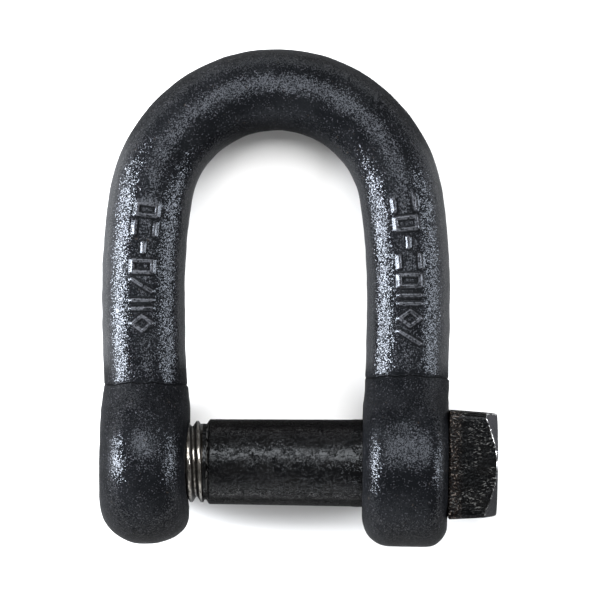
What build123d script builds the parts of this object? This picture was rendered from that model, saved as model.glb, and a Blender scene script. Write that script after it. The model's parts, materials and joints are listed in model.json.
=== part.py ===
"""Forged D shackle with a screw pin: a bow with two eyes, and a square-headed pin.

The shackle is built with its pin axis along X and the bow in the XY plane, then laid down
on the floor. It rests on the top of the crown and on the rims of the two eyes.
"""

import os
from dataclasses import dataclass
from math import acos, asin, degrees, radians, sqrt

from build123d import *

# Bow: sizes in millimetres, heights measured from the pin axis towards the crown
BAR_DIAMETER = 22.0           # round bar of the two legs
CROWN_BAR_DIAMETER = 21.6     # the bar draws down a little where it is bent
CROWN_RADIUS = 33.6           # bar's centreline round the crown
CROWN_HEIGHT = 65.1           # centre of the crown's arc
CROWN_TAPER = 30.0            # degrees at each end of the crown over which the bar thickens
LEG_HALF_SPREAD = 35.1        # bar's centreline at the widest part of the legs
LEG_SPREAD_HEIGHT = 45.0      # where the legs are widest
FOOT_HALF_SPREAD = 33.9       # bar's centreline where it ends inside the eyes
FOOT_HEIGHT = 10.0
BOW_LEAN = 0.6                # degrees that the forging leans from square to the pin

# Eyes
EYE_DIAMETER = 44.0
CREASE_LEDGE = 0.35           # the die leaves the ear this much proud of the leg
CREASE_ARCH_RADIUS = 60.0     # the crease is arched, highest in the middle of the leg
FLARE_BITE = 0.12             # how far the ear's flare sinks into the eye it runs into

# Pin
SHANK_DIAMETER = 22.8
NECK_DIAMETER = 23.2          # the shank thickens a little towards the head
NECK_LENGTH = 24.5            # from the head's seat
NECK_TAPER_LENGTH = 1.5
SHANK_CHAMFER = 0.8
RELIEF_DIAMETER = 20.1        # plain stretch between the shank and the thread
RELIEF_LENGTH = 1.6
THREAD_DIAMETER = 21.6        # over the crests, nine threads to the inch
THREAD_SHOW = 5.2             # shank's end to the threaded eye's inner face
THREAD_TIP_CHAMFER = 1.8
TIP_RECESS = 0.8              # the pin's tip stops short of the eye's outer face
HEAD_SEAT_WIDTH = 28.5        # across the flats at the seat
HEAD_END_WIDTH = 27.0         # across the flats at the free end, narrower by the die's draft
HEAD_LENGTH = 12.9
HEAD_CORNER_RADIUS = 1.6
HEAD_CHAMFER_CIRCLE = 26.4    # diameter of the circle left flat on the free end
HEAD_CHAMFER_SLOPE = 0.6      # length lost for each millimetre out from that circle
SEAT_GAP = 0.15               # from the plain eye to the head's seat

# Holes
PLAIN_BORE_CLEARANCE = 0.4    # radial, round the neck
THREAD_CLEARANCE = 0.08       # radial, round the thread's crests
COUNTERSINK_DEPTH = 1.2

BIG = 4 * EYE_DIAMETER        # reach of the cutting blocks, past anything here


@dataclass
class Ear:
    """One end of the bow, given as if on the right: distances along the pin from the middle."""

    inner: float              # inner face
    outer: float              # outer face
    inner_rounding: float     # radius that rounds the rim over to the inner face
    outer_rounding: float     # and to the outer face
    crease_past_rim: float    # how much further from the pin the die's crease is than the rim


THREADED_EAR = Ear(22.8, 46.45, 8.0, 10.1, -1.2)
PLAIN_EAR = Ear(22.9, 45.4, 7.6, 5.8, 1.4)

eye_radius = EYE_DIAMETER / 2
bar_radius = BAR_DIAMETER / 2
crown_bar_radius = CROWN_BAR_DIAMETER / 2
thread_radius = THREAD_DIAMETER / 2
head_seat_x = PLAIN_EAR.outer + SEAT_GAP
shank_end_x = THREAD_SHOW - THREADED_EAR.inner
tip_x = TIP_RECESS - THREADED_EAR.outer


def arc_radius_through(run, rise):
    """Radius of an arc that starts along the leg and has moved rise sideways after run."""
    return (run**2 + rise**2) / (2 * rise)


def shoulder_radius():
    """Radius of the arc that runs from the crown's arc to the legs' widest point, tangent to both."""
    drop = CROWN_HEIGHT - LEG_SPREAD_HEIGHT
    return (LEG_HALF_SPREAD**2 + drop**2 - CROWN_RADIUS**2) / (2 * (LEG_HALF_SPREAD - CROWN_RADIUS))


def leg_centre(height):
    """Half-spread of the bar's centreline on the lower leg."""
    radius = arc_radius_through(LEG_SPREAD_HEIGHT - FOOT_HEIGHT, LEG_HALF_SPREAD - FOOT_HALF_SPREAD)
    return LEG_HALF_SPREAD - radius + sqrt(radius**2 - (LEG_SPREAD_HEIGHT - height)**2)


def half_centreline():
    """The bar's centreline from the top of the crown to the right foot, in tangent arcs."""
    crown_centre = Vector(0, CROWN_HEIGHT)
    shoulder_centre = Vector(LEG_HALF_SPREAD - shoulder_radius(), LEG_SPREAD_HEIGHT)
    towards_join = (crown_centre - shoulder_centre).normalized()
    join = shoulder_centre + towards_join * shoulder_radius()
    top = Vector(0, CROWN_HEIGHT + CROWN_RADIUS)
    widest = Vector(LEG_HALF_SPREAD, LEG_SPREAD_HEIGHT)
    foot = Vector(FOOT_HALF_SPREAD, FOOT_HEIGHT)
    crown = TangentArc(top, join, tangent=(1, 0))
    shoulder = TangentArc(join, widest, tangent=crown % 1)
    leg = TangentArc(widest, foot, tangent=(0, -1))
    return crown, shoulder, leg


def round_bar(path, start_radius, end_radius):
    """A stretch of the bar along one arc of its centreline."""
    start, end = (
        Plane(path @ place, z_dir=path % place) * Circle(radius)
        for place, radius in ((0, start_radius), (1, end_radius))
    )
    if start_radius == end_radius:
        return sweep(start, path=path)
    return sweep([start, end], path=path, multisection=True)


def bar():
    """The bent bar: thinner round the crown, full thickness down the legs."""
    crown, shoulder, leg = half_centreline()
    even = 1 - radians(CROWN_TAPER) * CROWN_RADIUS / crown.length
    half = (
        round_bar(crown.trim(0, even), crown_bar_radius, crown_bar_radius)
        + round_bar(crown.trim(even, 1), crown_bar_radius, bar_radius)
        + round_bar(shoulder, bar_radius, bar_radius)
        + round_bar(leg, bar_radius, bar_radius)
    )
    whole = half + mirror(half, about=Plane.YZ)
    return whole.rotate(Axis.Z, BOW_LEAN)


def eye(ear):
    """The ear's barrel about the pin axis, its rim rounded over to both faces."""
    profile = make_face(Polyline(
        (ear.inner, 0), (ear.inner, eye_radius), (ear.outer, eye_radius), (ear.outer, 0), close=True
    ))
    for x, rounding in ((ear.inner, ear.inner_rounding), (ear.outer, ear.outer_rounding)):
        corner = profile.vertices().sort_by_distance((x, eye_radius))[0]
        profile = fillet(corner, rounding)
    return revolve(profile, Axis.X)


def flare(ear):
    """The ear between the crease on the leg and the eye, straight and tangent to the eye's rim."""
    start_height = eye_radius + ear.crease_past_rim
    start_half = bar_radius + CREASE_LEDGE
    reach = sqrt(start_height**2 + start_half**2)
    bitten_radius = eye_radius - FLARE_BITE
    # Angle round the pin at which the side view's straight line touches the bitten rim
    touch = degrees(asin(start_half / reach) + acos(bitten_radius / reach))
    touch_point = Vector(bitten_radius, 0).rotate(Axis.Z, touch)
    ear_half = (ear.outer - ear.inner) / 2 - FLARE_BITE
    ends = []
    for height, middle, half, reach_z in (
        (start_height, leg_centre(start_height), bar_radius, start_half),
        (touch_point.X, (ear.inner + ear.outer) / 2, ear_half, touch_point.Y),
    ):
        across = Plane((middle, height, 0), x_dir=(0, 0, 1), z_dir=(0, -1, 0))
        ends.append(across * SlotCenterToCenter(2 * (reach_z - half), 2 * half))
    body = loft(ends, ruled=True)
    arch_centre = (leg_centre(start_height), start_height - CREASE_ARCH_RADIUS, 0)
    return body & Pos(arch_centre) * Cylinder(CREASE_ARCH_RADIUS, BIG)


def forged_ear(ear):
    return eye(ear) + flare(ear)


def bored(x_from, x_to, radius):
    """A round tool along the pin axis."""
    return Pos((x_from + x_to) / 2, 0, 0) * Rot(Y=90) * Cylinder(radius, x_to - x_from)


def bow():
    threaded = mirror(forged_ear(THREADED_EAR), about=Plane.YZ)
    forging = bar() + forged_ear(PLAIN_EAR) + threaded
    plain_bore = bored(0, BIG, NECK_DIAMETER / 2 + PLAIN_BORE_CLEARANCE)
    hole_radius = thread_radius + THREAD_CLEARANCE
    tapped_hole = bored(-BIG, 0, hole_radius)
    mouth = -THREADED_EAR.inner
    countersink = revolve(make_face(Polyline(
        (mouth + 1, 0),
        (mouth + 1, hole_radius + COUNTERSINK_DEPTH + 1),
        (mouth - COUNTERSINK_DEPTH, hole_radius),
        (mouth - COUNTERSINK_DEPTH, 0),
        close=True,
    )), Axis.X)
    return forging - plain_bore - tapped_hole - countersink


def head():
    """The square head: drafted flats, rounded corners, and a conical chamfer on its free end."""
    seat = Plane((head_seat_x, 0, 0), x_dir=(0, 1, 0), z_dir=(1, 0, 0))
    end = seat.offset(HEAD_LENGTH)
    corner = HEAD_CORNER_RADIUS
    block = loft([
        seat * RectangleRounded(HEAD_SEAT_WIDTH, HEAD_SEAT_WIDTH, corner),
        end * RectangleRounded(HEAD_END_WIDTH, HEAD_END_WIDTH, corner),
    ], ruled=True)
    circle = HEAD_CHAMFER_CIRCLE / 2
    wide = HEAD_SEAT_WIDTH
    end_x = head_seat_x + HEAD_LENGTH
    turned = revolve(make_face(Polyline(
        (head_seat_x, 0),
        (head_seat_x, wide),
        (end_x - HEAD_CHAMFER_SLOPE * (wide - circle), wide),
        (end_x, circle),
        (end_x, 0),
        close=True,
    )), Axis.X)
    return block & turned


def screw_pin():
    """The pin in one piece: head, neck, shank, relief and the threaded end at its crests' size."""
    neck = NECK_DIAMETER / 2
    shank = SHANK_DIAMETER / 2
    relief = RELIEF_DIAMETER / 2
    neck_x = head_seat_x - NECK_LENGTH
    chamfer_x = shank_end_x - SHANK_CHAMFER
    thread_x = chamfer_x - RELIEF_LENGTH
    crest_x = thread_x - (thread_radius - relief)
    turned = revolve(make_face(Polyline(
        (head_seat_x + HEAD_LENGTH / 2, 0),
        (head_seat_x + HEAD_LENGTH / 2, neck),
        (neck_x, neck),
        (neck_x - NECK_TAPER_LENGTH, shank),
        (shank_end_x, shank),
        (chamfer_x, relief),
        (thread_x, relief),
        (crest_x, thread_radius),
        (tip_x + THREAD_TIP_CHAMFER, thread_radius),
        (tip_x, thread_radius - THREAD_TIP_CHAMFER),
        (tip_x, 0),
        close=True,
    )), Axis.X)
    return turned + head()


def laid_down(pieces):
    """Tip the shackle until crown and eyes touch the floor, then put the origin under its middle."""
    crown_reach = CROWN_HEIGHT + CROWN_RADIUS
    tip_down = degrees(asin((eye_radius - crown_bar_radius) / crown_reach))
    tipped = {name: piece.rotate(Axis.X, -tip_down) for name, piece in pieces.items()}
    box = Compound(list(tipped.values())).bounding_box()
    middle = box.center()
    return {name: Pos(-middle.X, -middle.Y, eye_radius) * piece for name, piece in tipped.items()}


os.makedirs("parts", exist_ok=True)
for name, piece in laid_down({"bow": bow(), "screw_pin": screw_pin()}).items():
    export_step(piece, f"parts/{name}.step")
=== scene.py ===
import json
from math import asin, cos, pi, radians, sin, sqrt

import bmesh
import bpy
import numpy as np
from mathutils import Matrix, Vector


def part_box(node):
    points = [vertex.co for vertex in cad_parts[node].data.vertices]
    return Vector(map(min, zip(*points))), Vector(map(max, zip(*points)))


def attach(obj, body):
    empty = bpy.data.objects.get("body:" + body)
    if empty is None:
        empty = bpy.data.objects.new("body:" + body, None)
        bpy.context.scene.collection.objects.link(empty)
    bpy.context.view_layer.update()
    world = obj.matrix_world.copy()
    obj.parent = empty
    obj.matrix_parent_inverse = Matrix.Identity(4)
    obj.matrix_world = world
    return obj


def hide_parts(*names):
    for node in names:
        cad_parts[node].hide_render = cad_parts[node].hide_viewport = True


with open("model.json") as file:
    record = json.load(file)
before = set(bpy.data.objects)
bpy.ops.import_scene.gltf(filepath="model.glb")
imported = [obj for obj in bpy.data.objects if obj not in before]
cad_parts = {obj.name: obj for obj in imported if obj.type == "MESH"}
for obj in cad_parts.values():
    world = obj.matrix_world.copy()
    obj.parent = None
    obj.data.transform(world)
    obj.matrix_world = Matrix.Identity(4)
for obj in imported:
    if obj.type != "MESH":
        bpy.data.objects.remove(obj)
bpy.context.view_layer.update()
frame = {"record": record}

MM = 0.001

# Bow, as in the solids: millimetres, heights measured from the pin axis towards the crown
BAR_RADIUS = 11.0
CROWN_BAR_RADIUS = 10.8
CROWN_RADIUS = 33.6
CROWN_HEIGHT = 65.1
CROWN_TAPER = 30.0
LEG_HALF_SPREAD = 35.1
LEG_SPREAD_HEIGHT = 45.0
FOOT_HALF_SPREAD = 33.9
FOOT_HEIGHT = 10.0
BOW_LEAN = 0.6
EYE_RADIUS = 22.0
CREASE_LEDGE = 0.35
CREASE_ARCH_RADIUS = 60.0
FLARE_BITE = 0.12

# Radii of the centreline's two lower arcs, tangent to each other and to the crown's
SHOULDER_DROP = CROWN_HEIGHT - LEG_SPREAD_HEIGHT
SHOULDER_RADIUS = ((LEG_HALF_SPREAD**2 + SHOULDER_DROP**2 - CROWN_RADIUS**2)
                   / (2 * (LEG_HALF_SPREAD - CROWN_RADIUS)))
LEG_RUN = LEG_SPREAD_HEIGHT - FOOT_HEIGHT
LEG_RISE = LEG_HALF_SPREAD - FOOT_HALF_SPREAD
LEG_RADIUS = (LEG_RUN**2 + LEG_RISE**2) / (2 * LEG_RISE)

# The ears, threaded on the left (-1) and plain on the right (1): how far from the middle their faces
# are, and how much further from the pin than the rim the crease is. The plain ear's rim is rounded
# over as in the solid. The threaded ear's is rounder than the solid's, as in the photograph: half an
# ellipse from face to face, with an inner face that is drafted away from the bow's plane.
EARS = {
    -1: dict(inner=22.8, outer=46.45, crease=-1.2, inner_bulge=7.5, outer_bulge=10.8, draft=0.09),
    1: dict(inner=22.9, outer=45.4, crease=1.4, inner_rounding=7.6, outer_rounding=5.8),
}

# The crease and the hairline groove above it are a little uneven, in the scene only
CREASE_WAVES = ((0.15, 0.9), (0.07, 2.3))
CREASE_BLEND = 0.25
GROOVE_DEPTH = 0.16
GROOVE_ABOVE = 0.3
GROOVE_WIDTH = 0.3
FOOT_BLEND = 0.3

# Pin, from its tip to the end of its head
TIP_X = -45.65
THREAD_RADIUS = 10.8
THREAD_DEPTH = 1.45
THREAD_PITCH = 25.4 / 9
CREST_SHARE = 0.22
ROOT_SHARE = 0.14
THREAD_TIP_CHAMFER = 1.8
LAST_CREST_X = -20.85
RELIEF_RADIUS = 10.05
SHANK_CHAMFER_X = -18.4
SHANK_X = -17.6
SHANK_RADIUS = 11.4
NECK_TAPER_X = 19.55
NECK_X = 21.05
NECK_RADIUS = 11.6
SEAT_X = 45.55
HEAD_LENGTH = 12.9
HEAD_SEAT_HALF = 14.25
HEAD_END_HALF = 13.5
HEAD_CORNER = 1.6
HEAD_CHAMFER_RADIUS = 13.2
HEAD_CHAMFER_SLOPE = 0.6
PLAIN_BORE_RADIUS = 12.0
THREAD_CLEARANCE = 0.08

# The shackle's own frame: X along the pin, Y towards the crown, Z square to the bow
mounts = {m["name"]: m for m in frame["record"]["mounts"]}
pin_mount = Vector(mounts["pin_span"]["pos_m"])
tip_down = asin((EYE_RADIUS - CROWN_BAR_RADIUS) / (CROWN_HEIGHT + CROWN_RADIUS))
origin = Vector((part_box("screw_pin")[1].x - (SEAT_X + HEAD_LENGTH) * MM, pin_mount.y, pin_mount.z))
to_row = Matrix.Translation(origin) @ Matrix.Rotation(-tip_down, 4, "X") @ Matrix.Scale(MM, 4)


def smooth_step(low, high, value):
    t = np.clip((value - low) / (high - low), 0, 1)
    return t * t * (3 - 2 * t)


def soft_min(a, b, blend):
    """The lesser of two distances, rounded into each other where they are within blend."""
    near = np.maximum(blend - np.abs(a - b), 0) / blend
    return np.minimum(a, b) - near**2 * blend / 4


def soft_max(a, b, blend):
    return -soft_min(-a, -b, blend)


def waves(points, seed, count, shortest, longest):
    """Smooth random relief between about -1 and 1, from plane waves of many directions."""
    rng = np.random.default_rng(seed)
    total = np.zeros(len(points))
    for _ in range(count):
        direction = rng.normal(size=3)
        direction /= np.linalg.norm(direction)
        length = shortest * (longest / shortest)**rng.random()
        phase = rng.random() * 2 * pi
        total += np.sin(points @ direction * (2 * pi / length) + phase)
    return total / sqrt(count / 2)


def halved(low, high, before, steps):
    """Where before turns false between low and high, found by halving the stretch for each entry."""
    for _ in range(steps):
        middle = (low + high) / 2
        keep = before(middle)
        low, high = np.where(keep, middle, low), np.where(keep, high, middle)
    return low


# The bow's skin is one tube of rows: from the threaded eye's rim, round the crown, to the plain eye's

def half_centreline(distance):
    """Centre, outward angle and radius of the bar on the right, by its length from the crown's top."""
    join_angle = asin(SHOULDER_DROP / (SHOULDER_RADIUS - CROWN_RADIUS))
    crown_length = CROWN_RADIUS * (pi / 2 - join_angle)
    shoulder_length = SHOULDER_RADIUS * join_angle
    if distance < crown_length:
        angle = pi / 2 - distance / CROWN_RADIUS
        centre, radius = (0, CROWN_HEIGHT), CROWN_RADIUS
    elif distance < crown_length + shoulder_length:
        angle = join_angle - (distance - crown_length) / SHOULDER_RADIUS
        centre, radius = (LEG_HALF_SPREAD - SHOULDER_RADIUS, LEG_SPREAD_HEIGHT), SHOULDER_RADIUS
    else:
        angle = -(distance - crown_length - shoulder_length) / LEG_RADIUS
        centre, radius = (LEG_HALF_SPREAD - LEG_RADIUS, LEG_SPREAD_HEIGHT), LEG_RADIUS
    point = np.array([centre[0] + radius * cos(angle), centre[1] + radius * sin(angle)])
    thinning = smooth_step(join_angle, join_angle + radians(CROWN_TAPER), angle)
    return point, angle, BAR_RADIUS + (CROWN_BAR_RADIUS - BAR_RADIUS) * float(thinning)


def leaned(point):
    """The point or direction after the whole bar has leaned over a little."""
    lean = radians(BOW_LEAN)
    x, y = point
    return np.array([x * cos(lean) - y * sin(lean), x * sin(lean) + y * cos(lean)])


def bar_row(distance):
    """Centre, outward direction and radius of a row square to the bar, left where distance is below 0."""
    side = 1 if distance >= 0 else -1
    point, angle, radius = half_centreline(abs(distance))
    outward = np.array([side * cos(angle), sin(angle)])
    return leaned((side * point[0], point[1])), leaned(outward), radius


def leg_distance(height):
    """Length along the half centreline at which the lower leg is this high."""
    shortest, longest = 40.0, 140.0
    return float(halved(shortest, longest, lambda length: half_centreline(length)[0][1] > height, 40))


def crease_middle(side):
    """Height of the crease's arch, and the bar's middle there."""
    height = EYE_RADIUS + EARS[side]["crease"]
    return height, side * half_centreline(leg_distance(height))[0][0]


def crease_arch(side, x):
    """Height of the die's crease across the leg: arched, and a little uneven."""
    height, middle = crease_middle(side)
    off = np.minimum(np.abs(x - middle), CREASE_ARCH_RADIUS / 3)
    arch = height - CREASE_ARCH_RADIUS + np.sqrt(CREASE_ARCH_RADIUS**2 - off**2)
    (long_wave, long_turn), (short_wave, short_turn) = CREASE_WAVES
    return arch + long_wave * np.sin(long_turn * x + side) + short_wave * np.sin(short_turn * x + 2)


def rounded_barrel(ear, out, radius):
    """Distance from a barrel whose rim is rounded over to both faces."""
    middle, half = (ear["inner"] + ear["outer"]) / 2, (ear["outer"] - ear["inner"]) / 2
    rounding = np.where(out < middle, ear["inner_rounding"], ear["outer_rounding"])
    over_x = np.abs(out - middle) - (half - rounding)
    over_r = radius - (EYE_RADIUS - rounding)
    outside = np.hypot(np.maximum(over_x, 0), np.maximum(over_r, 0))
    return np.minimum(np.maximum(over_x, over_r), 0) + outside - rounding


def bulging_barrel(ear, out, radius, z):
    """About the distance from a barrel whose rim is half an ellipse, with its inner face drafted."""
    inner = ear["inner"] + ear["draft"] * np.abs(z)
    middle, half = (ear["outer"] + inner) / 2, (ear["outer"] - inner) / 2
    bulge = np.where(out < middle, ear["inner_bulge"], ear["outer_bulge"])
    rise = np.maximum(radius - (EYE_RADIUS - bulge), 0) / bulge
    usual_size = 10
    return (np.hypot((out - middle) / half, rise) - 1) * usual_size


def flare_distance(side, x, height, z):
    """Distance from the straight flare between the crease and the eye's rim."""
    ear = EARS[side]
    crease_height, crease_x = crease_middle(side)
    start_half = BAR_RADIUS + CREASE_LEDGE
    reach = sqrt(crease_height**2 + start_half**2)
    bitten = EYE_RADIUS - FLARE_BITE
    # Angle round the pin at which the side view's straight line touches the bitten rim
    touch = asin(start_half / reach) + np.arccos(bitten / reach)
    end_height, end_reach = bitten * cos(touch), bitten * sin(touch)
    down = min((crease_height - height) / (crease_height - end_height), 1.0)
    middle, half = (ear["inner"] + ear["outer"]) / 2, (ear["outer"] - ear["inner"]) / 2
    flare_x = crease_x + (side * middle - crease_x) * down
    flare_half = BAR_RADIUS + (half - FLARE_BITE - BAR_RADIUS) * down
    flare_z = start_half + (end_reach - start_half) * down
    return np.hypot(x - flare_x, np.maximum(np.abs(z) - (flare_z - flare_half), 0)) - flare_half


def ear_distance(side, x, height, z, facing):
    """Distance from an ear's barrel, its flare and the bar's foot.

    Where facing is 1, on the broad sides, the flare runs softly into the barrel. Where it is 0, at
    the faces, they meet sharply.
    """
    ear = EARS[side]
    out, radius = side * x, np.hypot(height, z)
    barrel = bulging_barrel(ear, out, radius, z) if "draft" in ear else rounded_barrel(ear, out, radius)
    above_crease = height - crease_arch(side, x)
    if height > FOOT_HEIGHT / 2:
        flare = soft_max(flare_distance(side, x, height, z), above_crease, CREASE_BLEND)
        barrel = soft_min(flare, barrel, 0.05 + 1.5 * facing)
    if height <= FOOT_HEIGHT:
        return barrel
    foot, _, _ = bar_row(side * leg_distance(height))
    groove = GROOVE_DEPTH * np.exp(-((above_crease - GROOVE_ABOVE) / GROOVE_WIDTH)**2)
    return soft_min(barrel, np.hypot(x - foot[0], z) - BAR_RADIUS + groove, FOOT_BLEND)


def ear_row(side, height, angles):
    """Points of the level row round an ear at this height, found along rays from its middle."""
    ear = EARS[side]
    middle = side * (ear["inner"] + ear["outer"]) / 2
    foot, _, _ = bar_row(side * leg_distance(max(height, FOOT_HEIGHT)))
    start_x = middle + (foot[0] - middle) * float(smooth_step(FOOT_HEIGHT, EYE_RADIUS, height))
    facing = np.sin(angles)**2

    def place(reach):
        return start_x + side * reach * np.cos(angles), reach * np.sin(angles)

    def inside(reach):
        x, z = place(reach)
        return ear_distance(side, x, height, z, facing) < 0

    x, z = place(halved(np.zeros(len(angles)), np.full(len(angles), 30.0), inside, 34))
    return np.column_stack([x, np.full(len(angles), height), z])


# Raised marks on the front of each leg, plain generic shapes made of straight strokes. A stroke's ends
# are given along the leg in millimetres, and across it as shares of the marks' half width.

MARK_HEIGHT = 0.46
MARK_WALL_SLOPE = 0.7
STEEPEST_BAR_SLOPE = 0.24
STROKE_HALF = 0.5
MARK_PITCH = 5.0
NO_MARK_NEAR = 10.0


def ring(*corners):
    """Strokes from corner to corner, back to the first."""
    return [(corners[i - 1], corners[i]) for i in range(len(corners))]


BARS = [((-1.1, -1), (-1.1, 1)), ((1.1, -1), (1.1, 1))]
LOZENGE = ring((-2.0, 0), (0, 1), (2.0, 0), (0, -1))
BOX = ring((-1.5, -1), (-1.5, 1), (1.5, 1), (1.5, -1))
DASH = [((-1.3, 0), (1.3, 0))]
RAILS = [((-1.6, 1), (1.6, 1)), ((-1.6, -1), (1.6, -1))]
SLASH = [((-1.6, -1), (1.6, 1))]

# Each leg's marks from the lowest up: half their width, how far they stand to the side of the bar's
# middle, and the height of the lowest above the pin axis
MARKS = {
    -1: dict(half=2.65, shift=0.1, low=36.5,
             shapes=[LOZENGE, BARS, SLASH, BOX, DASH, RAILS, BOX]),
    1: dict(half=2.75, shift=-0.4, low=33.5,
            shapes=[SLASH, LOZENGE, BARS, BOX, RAILS, DASH, BOX, RAILS]),
}


def stroke_distance(u, v, start, end):
    """Distance from a straight stroke with round ends, less half its width."""
    du, dv = end[0] - start[0], end[1] - start[1]
    t = np.clip(((u - start[0]) * du + (v - start[1]) * dv) / (du * du + dv * dv), 0, 1)
    return np.hypot(u - start[0] - t * du, v - start[1] - t * dv) - STROKE_HALF


def mark_distance(side, height, across):
    """Distance from the edge of the nearest raised stroke, negative on the stroke."""
    marks = MARKS[side]
    half = marks["half"]
    nearest = np.full(len(across), NO_MARK_NEAR)
    for i, shape in enumerate(marks["shapes"]):
        u, v = height - (marks["low"] + i * MARK_PITCH), across - marks["shift"]
        for start, end in shape:
            distance = stroke_distance(u, v, (start[0], start[1] * half), (end[0], end[1] * half))
            nearest = np.minimum(nearest, distance)
    return nearest


def mark_steps(side, height, across):
    """Relief of the marks as a share of their height: past 1 well inside them, below 0 outside."""
    nearest = mark_distance(side, height, across)
    beside = 0.05
    facing = (mark_distance(side, height, across + beside) - nearest) / beside
    # The walls slope evenly as seen from the front, not from the round bar's own surface
    bar_slope = np.clip(across / BAR_RADIUS, -STEEPEST_BAR_SLOPE, STEEPEST_BAR_SLOPE)
    wall_slope = MARK_WALL_SLOPE - facing * bar_slope
    return 0.5 - nearest * wall_slope / MARK_HEIGHT


def mark_relief(side, height, across):
    return MARK_HEIGHT * np.clip(mark_steps(side, height, across), 0, 1)


def marked_span(side):
    """Heights between which a leg has marks."""
    marks = MARKS[side]
    low = marks["low"] - MARK_PITCH / 2
    return low, low + MARK_PITCH * len(marks["shapes"])


# Spacing of the skin's rows, which is close at the marks and at the creases
EAR_TOP = 27.5
BAR_END = 28.3
MARKED_ROW_STEP = 0.24
PLAIN_ROW_STEP = 1.15
CREASE_ROW_STEP = 0.14
CREASE_ROWS_ABOVE = 0.4
CREASE_ROWS_BELOW = 2.0


def row_angles():
    """Angles round a row, from the outer side over the front: close together where the marks stand."""
    first, last, others = 68, 112, 76
    front = np.arange(first, last + 0.01, 1.0)
    rest = np.linspace(last, first + 360, others + 2)[1:-1]
    return np.radians(np.concatenate([front, rest]))


def bar_points(distance, angles):
    side = 1 if distance >= 0 else -1
    centre, outward, radius = bar_row(distance)
    # Between these heights the rows turn level, to meet the ear's rows
    square_above, level_below = 35, 28
    level = float(smooth_step(square_above, level_below, centre[1]))
    outward = outward * (1 - level) + np.array([side, 0.0]) * level
    outward /= np.linalg.norm(outward)
    marks = mark_relief(side, centre[1], -side * radius * np.cos(angles))
    reach = radius + np.where(np.sin(angles) > 0, marks, 0)
    flat = reach * np.cos(angles)
    x, y = centre[0] + flat * outward[0], centre[1] + flat * outward[1]
    return np.column_stack([x, y, reach * np.sin(angles)])


def ear_heights(side):
    """Heights of an ear's level rows, from the foot of the leg to the rim, close at the crease."""
    crease = EYE_RADIUS + EARS[side]["crease"]
    crease_from, crease_to = crease + CREASE_ROWS_ABOVE, crease - CREASE_ROWS_BELOW
    rim_from, rim_to = 9.0, radians(88.5)
    above = np.linspace(EAR_TOP, crease_from, 5)[:-1]
    at_crease = np.arange(crease_from, crease_to, -CREASE_ROW_STEP)
    below = np.linspace(crease_to, -rim_from, 42)
    round_rim = -EYE_RADIUS * np.sin(np.linspace(asin(rim_from / EYE_RADIUS), rim_to, 24)[1:])
    return np.concatenate([above, at_crease, below, round_rim])


def bar_distances():
    """Lengths along the centreline at which the bar has rows, from left to right."""
    span = leg_distance(BAR_END)
    spots = [0.0]
    for side in (1, -1):
        low, high = marked_span(side)
        distance = 0.0
        while distance < span:
            height = bar_row(side * distance)[0][1]
            distance += MARKED_ROW_STEP if low < height < high else PLAIN_ROW_STEP
            spots.append(side * min(distance, span))
    return sorted(set(spots))


def mesh_object(name, points, faces):
    """A smooth-shaded piece from points in the shackle's own frame."""
    mesh = bpy.data.meshes.new(name)
    mesh.from_pydata([tuple(to_row @ Vector(p)) for p in points], [], faces)
    mesh.validate()
    obj = bpy.data.objects.new(name, mesh)
    bpy.context.scene.collection.objects.link(obj)
    bm = bmesh.new()
    bm.from_mesh(mesh)
    bmesh.ops.recalc_face_normals(bm, faces=bm.faces)
    bm.to_mesh(mesh)
    bm.free()
    mesh.shade_smooth()
    return obj


def tube_object(name, rows):
    """Closed mesh through rows of equal length, with a fan over each end."""
    count = len(rows[0])
    faces = []
    for i in range(len(rows) - 1):
        for j in range(count):
            k = (j + 1) % count
            faces.append((i * count + j, i * count + k, (i + 1) * count + k, (i + 1) * count + j))
    points = np.concatenate(list(rows) + [[rows[0].mean(axis=0)], [rows[-1].mean(axis=0)]])
    first, last, base = len(points) - 2, len(points) - 1, (len(rows) - 1) * count
    for j in range(count):
        k = (j + 1) % count
        faces.append((first, k, j))
        faces.append((last, base + j, base + k))
    return mesh_object(name, points, faces)


def forged_waviness(points):
    """Small lumps and hollows that forging and scale leave, as a shift of each point along each axis."""
    amount, seeds = 0.035, (3, 4, 5)
    shift = [waves(points, seed, count=26, shortest=3.5, longest=16) for seed in seeds]
    return points + amount * np.column_stack(shift)


def bow_skin():
    angles = row_angles()
    rows = [ear_row(-1, height, angles) for height in ear_heights(-1)[::-1]]
    rows += [bar_points(distance, angles) for distance in bar_distances()]
    rows += [ear_row(1, height, angles) for height in ear_heights(1)]
    shape = np.array(rows)
    return tube_object("bow_forging", forged_waviness(shape.reshape(-1, 3)).reshape(shape.shape))


# The pin, and the plugs that cut the eyes' holes, are rows of radius round the pin axis. They take
# stations along it, each a place and a radius, or one radius for each angle.

THREAD_ROW_STEP = 0.12
PLUG_ROW_STEP = 0.15


def thread_radius(x, theta, clearance):
    """Radius of the right-hand thread's surface: crest, straight flank, root, straight flank."""
    phase = np.mod((x - LAST_CREST_X) / THREAD_PITCH - theta / (2 * pi) + 0.5, 1) - 0.5
    flank_share = (1 - CREST_SHARE - ROOT_SHARE) / 2
    down = np.clip((np.abs(phase) - CREST_SHARE / 2) / flank_share, 0, 1)
    return THREAD_RADIUS + clearance - THREAD_DEPTH * down


def turned_object(name, stations, theta):
    rows = []
    for x, radius in stations:
        radius = np.broadcast_to(radius, theta.shape)
        along = np.full(len(theta), x)
        rows.append(np.column_stack([along, radius * np.cos(theta), radius * np.sin(theta)]))
    return tube_object(name, rows)


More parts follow.
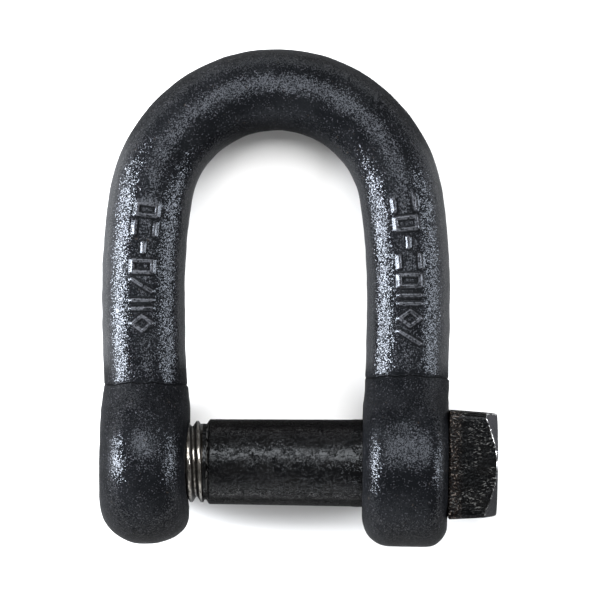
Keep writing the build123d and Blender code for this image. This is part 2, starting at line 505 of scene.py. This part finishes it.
def square_radius(theta, half, corner):
    """Distance from the axis to a square of this half-width with rounded corners."""
    def inside(reach):
        over_y = np.maximum(np.abs(reach * np.cos(theta)) - (half - corner), 0)
        over_z = np.maximum(np.abs(reach * np.sin(theta)) - (half - corner), 0)
        return np.hypot(over_y, over_z) < corner

    low, high = np.full(len(theta), 0.9) * half, np.full(len(theta), 1.5) * half
    return halved(low, high, inside, 30)


def even_angles(count):
    return np.arange(count) * 2 * pi / count


def corner_heavy_angles(count):
    """Angles round the pin, closer together where the head's corners are."""
    t = even_angles(count)
    crowding = 0.1
    return t + crowding * np.sin(4 * t)


def thread_stations(theta):
    """The threaded end: its last turn ends in the relief at the front, and fades out behind."""
    tip_radius = THREAD_RADIUS - THREAD_TIP_CHAMFER
    stations = [(TIP_X, 2.0), (TIP_X, tip_radius - 0.3)]
    last_crest = LAST_CREST_X + THREAD_PITCH * theta / (2 * pi)
    fade_from, fade_to = last_crest - 0.5 * THREAD_PITCH, last_crest - 0.3 * THREAD_PITCH
    behind = smooth_step(1.15 * pi, 1.7 * pi, theta)
    for x in np.arange(TIP_X + THREAD_ROW_STEP, SHANK_CHAMFER_X, THREAD_ROW_STEP):
        past = smooth_step(last_crest + 0.2, last_crest + 0.75, x)
        fading = behind * smooth_step(fade_from, fade_to, x)
        radius = thread_radius(x, theta, 0)
        radius = radius + (RELIEF_RADIUS - radius) * np.maximum(past, fading)
        stations.append((x, np.minimum(radius, tip_radius + (x - TIP_X))))
    return stations


def shank_stations():
    """The chamfer at the shank's end, the shank, which thickens a little, and the neck."""
    skin = 0.15
    stations = [(SHANK_CHAMFER_X + 0.1, RELIEF_RADIUS + 0.12), (SHANK_X - 0.15, SHANK_RADIUS - 0.35)]
    stations += [(SHANK_X + 0.05, SHANK_RADIUS - 0.2), (SHANK_X + 0.35, SHANK_RADIUS - skin)]
    for x in np.linspace(SHANK_X + 1, NECK_TAPER_X, 36):
        along = (x - SHANK_X) / (NECK_TAPER_X - SHANK_X)
        stations.append((x, SHANK_RADIUS - skin + 0.25 * along))
    return stations + [(x, NECK_RADIUS) for x in np.linspace(NECK_X, SEAT_X, 16)]


def head_stations(theta):
    """The square head from its seat to its free end: drafted flats cut by a conical chamfer."""
    end_x = SEAT_X + HEAD_LENGTH
    edge, end_edge = 0.5, 0.25
    seat_square = square_radius(theta, HEAD_SEAT_HALF, HEAD_CORNER)
    seat_reach = seat_square - edge - NECK_RADIUS
    stations = [(SEAT_X, NECK_RADIUS + share * seat_reach) for share in (0.3, 0.7, 1.0)]
    stations += [(SEAT_X + edge * 0.3, seat_square - edge * 0.3)]
    for along in np.linspace(edge, HEAD_LENGTH - 0.02, 58):
        half = HEAD_SEAT_HALF + (HEAD_END_HALF - HEAD_SEAT_HALF) * along / HEAD_LENGTH
        square = square_radius(theta, half, HEAD_CORNER)
        cone = HEAD_CHAMFER_RADIUS + (HEAD_LENGTH - along) / HEAD_CHAMFER_SLOPE
        stations.append((SEAT_X + along, soft_min(square, np.full(len(theta), cone), 0.35)))
    end = np.minimum(HEAD_CHAMFER_RADIUS, square_radius(theta, HEAD_END_HALF, HEAD_CORNER)) - end_edge
    return stations + [(end_x, end * share) for share in (1.0, 0.6, 0.2)]


def pin_body():
    theta = corner_heavy_angles(256)
    stations = thread_stations(theta) + shank_stations() + head_stations(theta)
    return turned_object("pin_forging", stations, theta)


def plain_plug():
    """What the plain eye's bore removes: a cylinder that opens a little at both faces."""
    inner_x, outer_x = EARS[1]["inner"], EARS[1]["outer"]
    past, mouth = 3, 0.6
    bore, opened = PLAIN_BORE_RADIUS, PLAIN_BORE_RADIUS + mouth
    stations = [
        (inner_x - past, opened), (inner_x - 0.01, opened), (inner_x + mouth, bore),
        (outer_x - mouth, bore), (outer_x + 0.01, opened), (outer_x + past, opened),
    ]
    return turned_object("plain_plug", stations, even_angles(128))


def threaded_plug():
    """What the tapped hole removes: the pin's own thread with clearance, countersunk at both faces."""
    inner_x, outer_x = -EARS[-1]["inner"], -EARS[-1]["outer"]
    theta = even_angles(128)
    past, sink_in, sink_out = 3, 1.2, 0.8
    stations = [(outer_x - past, THREAD_RADIUS + sink_out)]
    for x in np.arange(outer_x, inner_x + 0.01, PLUG_ROW_STEP):
        radius = thread_radius(x, theta, THREAD_CLEARANCE)
        radius = np.maximum(radius, THREAD_RADIUS + sink_out - (x - outer_x))
        stations.append((x, np.maximum(radius, THREAD_RADIUS + sink_in - (inner_x - x))))
    stations.append((inner_x + past, THREAD_RADIUS + sink_in + 0.1))
    return turned_object("threaded_plug", stations, theta)


def cut(piece, plug):
    """Take the plug out of the piece, and remove the plug."""
    cutter = piece.modifiers.new("hole", "BOOLEAN")
    cutter.operation = "DIFFERENCE"
    cutter.solver = "MANIFOLD"
    cutter.object = plug
    graph = bpy.context.evaluated_depsgraph_get()
    result = bpy.data.meshes.new_from_object(piece.evaluated_get(graph))
    piece.modifiers.clear()
    result.materials.clear()
    piece.data = result
    bpy.data.objects.remove(plug)


bow = bow_skin()
cut(bow, plain_plug())
cut(bow, threaded_plug())
pin = pin_body()
for piece in (bow, pin):
    piece.data.set_sharp_from_angle(angle=radians(40))

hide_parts("bow")
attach(bow, "bow")
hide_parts("screw_pin")
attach(pin, "pin")


# The Mix node's colour inputs and output, which share their names with its other kinds
MIX_A, MIX_B, MIX_RESULT = 6, 7, 2


class Material:
    """A procedural material: nodes are added by name of kind, and values or links given by socket."""

    def __init__(self, name):
        self.data = bpy.data.materials.new(name)
        self.data.use_nodes = True
        self.tree = self.data.node_tree
        self.shader = self.tree.nodes["Principled BSDF"]
        # Texture space in millimetres, fixed to the piece
        self.space = self.vector("SCALE", self.node("TexCoord").outputs["Object"], Scale=1 / MM)

    def node(self, kind, inputs=None, **settings):
        node = self.tree.nodes.new("ShaderNode" + kind)
        for key, value in settings.items():
            setattr(node, key, value)
        for socket, value in (inputs or {}).items():
            self.feed(node.inputs[socket], value)
        return node

    def feed(self, socket, value):
        """Link the value if it is a socket, or else set it. A colour of three values gets full alpha."""
        if isinstance(value, bpy.types.NodeSocket):
            self.tree.links.new(value, socket)
        elif isinstance(value, tuple) and socket.type == "RGBA":
            socket.default_value = (*value, 1)
        else:
            socket.default_value = value

    def vector(self, operation, a, b=(0, 0, 0), **inputs):
        return self.node("VectorMath", {0: a, 1: b, **inputs}, operation=operation).outputs["Vector"]

    def calc(self, operation, a, b=0.0):
        return self.node("Math", {0: a, 1: b}, operation=operation).outputs["Value"]

    def times(self, a, b):
        return self.calc("MULTIPLY", a, b)

    def most(self, a, b):
        return self.calc("MAXIMUM", a, b)

    def noise(self, size, detail=2.0, roughness=0.5, stretch=None, shift=0.0):
        """Noise of about this grain size in millimetres, from 0 to 1."""
        place = self.space if stretch is None else self.vector("MULTIPLY", self.space, stretch)
        if shift:
            place = self.vector("ADD", place, (shift, shift, shift))
        inputs = {"Vector": place, "Scale": 1 / size, "Detail": detail, "Roughness": roughness}
        return self.node("TexNoise", inputs).outputs["Fac"]

    def ranged(self, value, low, high, start=0.0, end=1.0):
        """From start to end, smoothly, while the value goes from low to high."""
        inputs = {"Value": value, "From Min": low, "From Max": high, "To Min": start, "To Max": end}
        return self.node("MapRange", inputs, interpolation_type="SMOOTHSTEP").outputs["Result"]

    def between(self, share, start, end):
        """From start to end while the share goes from 0 to 1."""
        return self.ranged(share, 0.0, 1.0, start, end)

    def blend(self, factor, a, b):
        node = self.node("Mix", data_type="RGBA")
        self.feed(node.inputs["Factor"], factor)
        self.feed(node.inputs[MIX_A], a)
        self.feed(node.inputs[MIX_B], b)
        return node.outputs[MIX_RESULT]

    def attribute(self, name):
        return self.node("Attribute", attribute_name=name).outputs["Fac"]

    def bump(self, height, depth, normal=None):
        """Relief of this depth in millimetres between the heights 0 and 1."""
        inputs = {"Height": height, "Distance": depth * MM, "Strength": 1.0}
        if normal is not None:
            inputs["Normal"] = normal
        return self.node("Bump", inputs).outputs["Normal"]

    def facets(self, size, tilt):
        """The surface normal, tipped at random on each small cell."""
        cell = self.node("TexVoronoi", {"Vector": self.space, "Scale": 1 / size}).outputs["Color"]
        tipped = self.vector("SCALE", self.vector("SUBTRACT", cell, (0.5, 0.5, 0.5)), Scale=tilt)
        total = self.vector("ADD", self.node("NewGeometry").outputs["Normal"], tipped)
        return self.vector("NORMALIZE", total)

    def finish(self, **sockets):
        for name, value in sockets.items():
            self.feed(self.shader.inputs[name.replace("_", " ")], value)
        return self.data


# Colours of the bow's skin
DEEP_SCALE, PALE_SCALE = (0.0016, 0.0018, 0.0022), (0.0034, 0.0037, 0.0043)
GREY_SPECK, BROWN_SPECK = (0.019, 0.019, 0.022), (0.016, 0.0125, 0.01)
# Painted shade and dirt, darkening the creases and the marks' feet
SHADE_AND_DIRT_TONE = (0.001, 0.001, 0.001)
RUBBED_SCALE = (0.05, 0.052, 0.058)


def black_forging():
    """Black scaled and oiled forging: fine orange peel that breaks the light up into sparkle."""
    m = Material("black_forging_scale")
    peel = m.noise(0.42, detail=0.0)
    patch = m.noise(9.0, detail=3.0, shift=31.0)
    spot = m.noise(1.1, detail=3.0, shift=55.0)
    rub = m.noise(0.7, detail=3.0, shift=83.0)
    oil = m.noise(2.6, detail=4.0, shift=13.0)
    groove, side, dull = m.attribute("groove"), m.attribute("side"), m.attribute("dull")
    color = m.blend(m.ranged(patch, 0.35, 0.65), DEEP_SCALE, PALE_SCALE)
    color = m.blend(m.ranged(peel, 0.67, 0.78), color, GREY_SPECK)
    color = m.blend(m.ranged(spot, 0.68, 0.78), color, BROWN_SPECK)
    # Painted shade and dirt: the creases and the marks' feet are darkened
    color = m.blend(groove, color, SHADE_AND_DIRT_TONE)
    color = m.blend(m.times(m.attribute("rubbed"), m.ranged(rub, 0.34, 0.58)), color, RUBBED_SCALE)
    roughness = m.ranged(oil, 0.3, 0.7, 0.12, 0.22)
    roughness = m.most(roughness, m.between(groove, 0.0, 0.9))
    roughness = m.most(roughness, m.between(side, 0.0, 0.55))
    normal = m.facets(0.23, m.between(m.most(m.attribute("mark"), side), 0.39, 0.14))
    normal = m.bump(m.noise(1.0, detail=1.0, shift=7.0), 0.035, normal)
    normal = m.bump(peel, 0.03, normal)
    gloss = m.times(m.between(groove, 0.14, 0.015), m.between(dull, 1.0, 0.08))
    return m.finish(Base_Color=color, Roughness=roughness, Normal=normal,
                    Specular_Tint=(0.81, 0.88, 1.0), Specular_IOR_Level=gloss)


# Colours of the pin's skin
SOOT, WARM_SOOT, CRACK = (0.0006, 0.0006, 0.0007), (0.0018, 0.0017, 0.0017), (0.001, 0.001, 0.001)
RUST, RUST_SPECK = (0.005, 0.003, 0.0022), (0.1, 0.085, 0.075)
CHIP, WORN_SCALE, BRIGHT_EDGE = (0.06, 0.06, 0.058), (0.023, 0.023, 0.025), (0.8, 0.8, 0.8)


def pin_scale():
    """The pin's black skin: crackled flakes of scale, rust at the head's seat, a worn chamfer and a
    bright bare edge, both painted lighter on the head's upper half as painted light.
    """
    m = Material("pin_scale")
    flakes = m.noise(1.0, detail=4.0, roughness=0.6, stretch=(0.65, 1.0, 1.0))
    crack = m.ranged(m.calc("ABSOLUTE", m.calc("SUBTRACT", flakes, 0.5)), 0.0, 0.03, 1.0, 0.0)
    sheared = m.noise(0.6, detail=3.0, stretch=(0.6, 1.0, 1.0), shift=17.0)
    patch = m.noise(5.0, detail=3.0, shift=3.0)
    spot = m.noise(0.55, detail=3.0, shift=41.0)
    wear = m.noise(1.2, detail=4.0, shift=23.0)
    broken = m.noise(0.9, detail=3.0, shift=11.0)
    head, rust, dull = m.attribute("head"), m.attribute("rust"), m.attribute("dull")
    chip = m.ranged(m.noise(0.36, detail=2.0, stretch=(0.45, 1.0, 1.0), shift=67.0), 0.56, 0.68)
    chip = m.times(m.times(head, chip), m.ranged(m.noise(4.5, detail=2.0, shift=71.0), 0.42, 0.58))
    edge = m.times(m.attribute("edge"), m.ranged(broken, 0.42, 0.55))
    color = m.blend(m.ranged(patch, 0.4, 0.65), SOOT, WARM_SOOT)
    color = m.blend(crack, color, CRACK)
    color = m.blend(m.times(rust, m.ranged(spot, 0.4, 0.55)), color, RUST)
    color = m.blend(m.times(rust, m.ranged(spot, 0.61, 0.67)), color, RUST_SPECK)
    color = m.blend(chip, color, CHIP)
    # The chamfer's wear and the bare steel of its edge, painted lighter on the head's upper half as
    # painted light
    color = m.blend(m.times(m.attribute("worn"), m.ranged(wear, 0.3, 0.5, 0.5, 1.0)), color, WORN_SCALE)
    color = m.blend(edge, color, BRIGHT_EDGE)
    roughness = m.ranged(flakes, 0.3, 0.7, 0.08, 0.18)
    roughness = m.most(roughness, m.between(m.attribute("side"), 0.0, 0.5))
    patchy = m.noise(1.6, detail=3.0, stretch=(0.5, 1.0, 1.0), shift=29.0)
    tilt = m.times(m.ranged(patchy, 0.45, 0.6, 0.069, 0.575), m.between(head, 1.0, 0.35))
    normal = m.facets(0.3, tilt)
    normal = m.bump(flakes, 0.09, normal)
    normal = m.bump(crack, -0.04, normal)
    normal = m.bump(m.times(sheared, head), 0.1, normal)
    normal = m.bump(m.times(spot, rust), 0.15, normal)
    gloss = m.times(m.ranged(dull, 0.25, 1.0, 0.135, 0.006), m.between(head, 1.0, 0.45))
    return m.finish(Base_Color=color, Roughness=roughness, Normal=normal, Metallic=edge,
                    Specular_Tint=(0.9, 0.95, 1.0), Specular_IOR_Level=gloss)


# Colours of the thread
STEEL, FILMED_STEEL, ROOT_FILM = (0.225, 0.215, 0.198), (0.075, 0.068, 0.061), (0.014, 0.012, 0.01)
# Painted shade for the thread where its surface turns sideways
PAINTED_SIDE_SHADE = (0.006, 0.006, 0.006)


def bare_steel():
    """The turned thread: steel with turning lines, a brown film in the roots and painted shade where it
    turns sideways.
    """
    m = Material("bare_thread_steel")
    lines = m.noise(0.12, detail=2.0, stretch=(1.0, 0.02, 0.02))
    film = m.noise(1.5, detail=3.0, shift=5.0)
    side = m.attribute("side")
    color = m.blend(m.ranged(film, 0.35, 0.7), STEEL, FILMED_STEEL)
    color = m.blend(m.attribute("root"), color, ROOT_FILM)
    # Painted shade: the thread is darkened where it turns sideways
    color = m.blend(side, color, PAINTED_SIDE_SHADE)
    roughness = m.most(m.ranged(film, 0.3, 0.7, 0.14, 0.28), m.between(side, 0.0, 0.5))
    return m.finish(Base_Color=color, Roughness=roughness, Normal=m.bump(lines, 0.01),
                    Metallic=m.between(side, 1.0, 0.0), Specular_IOR_Level=0.1)


def pale_floor():
    m = Material("pale_floor_paper")
    tone = m.noise(60.0, detail=2.0)
    color = m.blend(m.ranged(tone, 0.3, 0.7), (0.69, 0.69, 0.69), (0.71, 0.71, 0.71))
    return m.finish(Base_Color=color, Roughness=0.9)


# Where each look lies on a piece is held by attributes of its points: "side" where the surface turns
# away from the front and back, where the thread gets painted shade, "dull" where its gloss is gone,
# "root" in the thread's roots. The bow has "groove" for painted shade and dirt in its creases and round
# its marks, "mark" and "rubbed" too, and the pin "head", "worn", "edge" and "rust", with "worn" and
# "edge" painted lighter on the head's upper half as painted light.

def local_points(piece):
    """The mesh's points in the shackle's own frame, in millimetres."""
    points = np.empty(len(piece.data.vertices) * 3)
    piece.data.vertices.foreach_get("co", points)
    back = np.array(to_row.inverted())
    return points.reshape(-1, 3) @ back[:3, :3].T + back[:3, 3]


def set_attribute(piece, name, values):
    attribute = piece.data.attributes.new(name, "FLOAT", "POINT")
    attribute.data.foreach_set("value", np.ascontiguousarray(values, dtype=np.float32))


def front_facing(piece):
    """1 where the surface faces straight to the front or back, and 0 where it faces sideways."""
    normals = np.empty(len(piece.data.vertices) * 3)
    piece.data.vertex_normals.foreach_get("vector", normals)
    front = (to_row.to_3x3() @ Vector((0, 0, 1))).normalized()
    return np.abs(normals.reshape(-1, 3) @ np.array(front))


def dull_rims(points, facing):
    """How dull the scale is: most on the rims of ears, pin and crown, a little on the ears' front."""
    rims = 1 - smooth_step(0.45, 0.95, facing)
    ears = smooth_step(30, 22, points[:, 1])
    crown = smooth_step(75, 90, points[:, 1])
    ear_front = np.where(points[:, 0] > 0, 0.28, 0.12)
    return np.maximum(ears * np.maximum(rims, ear_front), crown * rims)


def paint(piece, skin, thread):
    """Give the piece its black skin, and the thread's steel as a second material."""
    points = local_points(piece)
    radius = np.hypot(points[:, 1], points[:, 2])
    facing = front_facing(piece)
    depth = (THREAD_RADIUS + THREAD_CLEARANCE - radius) / THREAD_DEPTH
    root = smooth_step(0.15, 0.5, depth) * (1 - 0.75 * smooth_step(0.8, 1.0, depth))
    set_attribute(piece, "side", 1 - smooth_step(0.2, 0.85, facing))
    set_attribute(piece, "dull", dull_rims(points, facing))
    set_attribute(piece, "root", root)
    piece.data.materials.append(skin)
    piece.data.materials.append(thread)
    return points, radius


def assign_thread(piece, chosen):
    """Second material on the faces whose corners are all chosen."""
    faces = piece.data.polygons
    index = [1 if all(chosen[v] for v in face.vertices) else 0 for face in faces]
    faces.foreach_set("material_index", index)


def leg_places(points):
    """Side, height of the bar's centre and distance across it, for points on the legs."""
    side = np.where(points[:, 0] < 0, -1, 1)
    lean = radians(BOW_LEAN)
    x = side * (points[:, 0] * cos(lean) + points[:, 1] * sin(lean))
    y = points[:, 1] * cos(lean) - points[:, 0] * sin(lean)
    radius = np.where(y > LEG_SPREAD_HEIGHT, SHOULDER_RADIUS, LEG_RADIUS)
    arc_x, arc_y = LEG_HALF_SPREAD - radius, LEG_SPREAD_HEIGHT
    dx, dy = x - arc_x, y - arc_y
    reach = np.hypot(dx, dy)
    centre_x, centre_y = arc_x + radius * dx / reach, arc_y + radius * dy / reach
    height = side * centre_x * sin(lean) + centre_y * cos(lean)
    return side, height, -side * (reach - radius)


def mark_and_crease_places(points):
    """Painted shade and dirt in the creases and round the marks' feet, the marks, and their rubbed edges.
    """
    side, height, across = leg_places(points)
    near_mark = np.full(len(points), NO_MARK_NEAR)
    steps = np.full(len(points), -NO_MARK_NEAR)
    below_crease = np.full(len(points), NO_MARK_NEAR)
    for s in (-1, 1):
        low, high = marked_span(s)
        on = (side == s) & (points[:, 2] > 0) & (height > low) & (height < high)
        near_mark[on] = mark_distance(s, height[on], across[on])
        steps[on] = mark_steps(s, height[on], across[on])
        on = (side == s) & (points[:, 1] > 15) & (points[:, 1] < 30)
        below_crease[on] = points[on, 1] - crease_arch(s, points[on, 0])
    round_marks = smooth_step(-0.15, 0.1, -steps) * (1 - smooth_step(0.4, 0.8, near_mark))
    in_crease = 1 - smooth_step(0.1, 0.45, np.abs(below_crease - 0.15))
    # Painted shade and dirt in the creases and at the marks' feet
    shade_and_dirt = np.maximum(0.85 * round_marks, 0.55 * in_crease)
    walls = smooth_step(-0.15, 0.1, steps) * (1 - smooth_step(0.9, 1.15, steps))
    edges = smooth_step(0.45, 0.8, steps) * (1 - smooth_step(1.0, 1.25, steps))
    return shade_and_dirt, walls, edges


def paint_bow(piece):
    points, radius = paint(piece, black_forging(), bare_steel())
    shade_and_dirt, walls, edges = mark_and_crease_places(points)
    set_attribute(piece, "groove", shade_and_dirt)
    set_attribute(piece, "mark", walls)
    set_attribute(piece, "rubbed", edges)
    hole_reach = THREAD_RADIUS + 1.35
    assign_thread(piece, (points[:, 0] < 0) & (radius < hole_reach))


def paint_pin(piece):
    points, _ = paint(piece, pin_scale(), bare_steel())
    x = points[:, 0]
    theta = np.mod(np.arctan2(points[:, 2], points[:, 1]), 2 * pi)
    half = HEAD_SEAT_HALF + (HEAD_END_HALF - HEAD_SEAT_HALF) * (x - SEAT_X) / HEAD_LENGTH
    square = square_radius(theta, np.clip(half, HEAD_END_HALF, HEAD_SEAT_HALF), HEAD_CORNER)
    cone = HEAD_CHAMFER_RADIUS + (SEAT_X + HEAD_LENGTH - x) / HEAD_CHAMFER_SLOPE
    on_head = x > SEAT_X - 0.01
    # Painted light and shade: the chamfer's wear and its bright edge are made lighter on the head's upper
    # # half, where the light falls, and darker on its lower half
    painted_upper_light = smooth_step(-3, 3, points[:, 1])
    worn = (0.575 + 0.425 * painted_upper_light) * smooth_step(0.0, 0.4, square - cone)
    head_edge = (0.15 + 0.85 * painted_upper_light) * (1 - smooth_step(0.04, 0.2, np.abs(square - cone)))
    shank_edge = 0.12 * (1 - smooth_step(0.1, 0.3, np.abs(x - SHANK_CHAMFER_X - 0.25)))
    rust = 1 - smooth_step(SEAT_X + 1.5, SEAT_X + 4.0, x)
    set_attribute(piece, "worn", np.where(on_head, worn, 0))
    set_attribute(piece, "edge", np.where(on_head, head_edge, shank_edge))
    set_attribute(piece, "head", smooth_step(SEAT_X, SEAT_X + 0.5, x))
    set_attribute(piece, "rust", np.where(on_head, rust, 0))
    assign_thread(piece, (x < SHANK_CHAMFER_X - 0.9) & (x > TIP_X + 0.05))


paint_bow(bow)
paint_pin(pin)

# Camera: the photograph is 598 pixels wide and high, and these places in it are pixels from its top
# left. The camera stands square over the pixel it faces, and the pin is a little off level (degrees).
PHOTO_PIXELS = 598
MM_PER_PIXEL = 0.2657
FRAMING = 1.003
PIN_MIDDLE = (276.05, 461.8)
FACED = (340.0, 310.0)
CAMERA_HEIGHT = 1600.0
PIN_TILT = 0.59
SENSOR_WIDTH = 36


def in_photo(pixel, height=0.0):
    """The photograph's pixel as a place in the shackle's own frame, this far off the bow's plane."""
    right, down = pixel[0] - PIN_MIDDLE[0], pixel[1] - PIN_MIDDLE[1]
    return Vector((right * MM_PER_PIXEL, -down * MM_PER_PIXEL, height))


def photo_camera():
    """A camera over the pixel that it faces, turned towards the photograph's middle."""
    camera = bpy.data.objects.new("camera", bpy.data.cameras.new("camera"))
    eye = in_photo(FACED, CAMERA_HEIGHT)
    target = in_photo((PHOTO_PIXELS / 2, PHOTO_PIXELS / 2))
    back = (eye - target).normalized()
    right = Vector((0, 1, 0)).cross(back).normalized()
    up = back.cross(right)
    stand = Matrix((right, up, back)).transposed().to_4x4()
    stand.translation = eye
    placed = to_row @ Matrix.Rotation(radians(PIN_TILT), 4, "Z") @ stand
    place, turn, _ = placed.decompose()
    camera.matrix_world = Matrix.LocRotScale(place, turn, None)
    camera.data.sensor_width = SENSOR_WIDTH
    camera.data.lens = FRAMING * SENSOR_WIDTH * (eye - target).length / (PHOTO_PIXELS * MM_PER_PIXEL)
    bpy.context.scene.collection.objects.link(camera)
    return camera


bpy.context.scene.camera = photo_camera()


BOX_DISTANCE = 1.1
LIT_PLACE = Vector((0, 0, 0.02))
COOL_WHITE = (0.95, 0.97, 1.0)
WHITE = (1, 1, 1)


def softbox(name, across, above, size, power, color):
    """A soft box in a direction in degrees from straight above, to the right and towards the crown."""
    right, up = radians(across), radians(above)
    place = Vector((sin(right), sin(up), cos(right) * cos(up))).normalized() * BOX_DISTANCE
    data = bpy.data.lights.new(name, "AREA")
    data.shape = "RECTANGLE"
    data.size, data.size_y = size
    data.energy = power
    data.color = color
    light = bpy.data.objects.new(name, data)
    light.location = place
    light.rotation_mode = "QUATERNION"
    light.rotation_quaternion = (LIT_PLACE - place).to_track_quat("-Z", "Y")
    bpy.context.scene.collection.objects.link(light)


softbox("left_box", across=-70, above=1, size=(0.4, 0.42), power=67, color=COOL_WHITE)
softbox("right_box", across=68, above=1, size=(0.4, 0.42), power=19, color=COOL_WHITE)
softbox("top_box", across=0, above=28, size=(0.8, 0.5), power=19.5, color=WHITE)
softbox("low_box", across=0, above=-66, size=(0.9, 0.6), power=2.8, color=WHITE)

world = bpy.data.worlds.new("studio")
world.use_nodes = True
background = world.node_tree.nodes["Background"]
background.inputs["Color"].default_value = (*WHITE, 1)
background.inputs["Strength"].default_value = 0.43
bpy.context.scene.world = world
bpy.context.scene.view_settings.view_transform = "Standard"

floor = bpy.data.meshes.new("floor")
far = 3.0
floor.from_pydata([(-far, -far, 0), (far, -far, 0), (far, far, 0), (-far, far, 0)], [], [(0, 1, 2, 3)])
floor.materials.append(pale_floor())
floor_piece = bpy.data.objects.new("floor", floor)
bpy.context.scene.collection.objects.link(floor_piece)
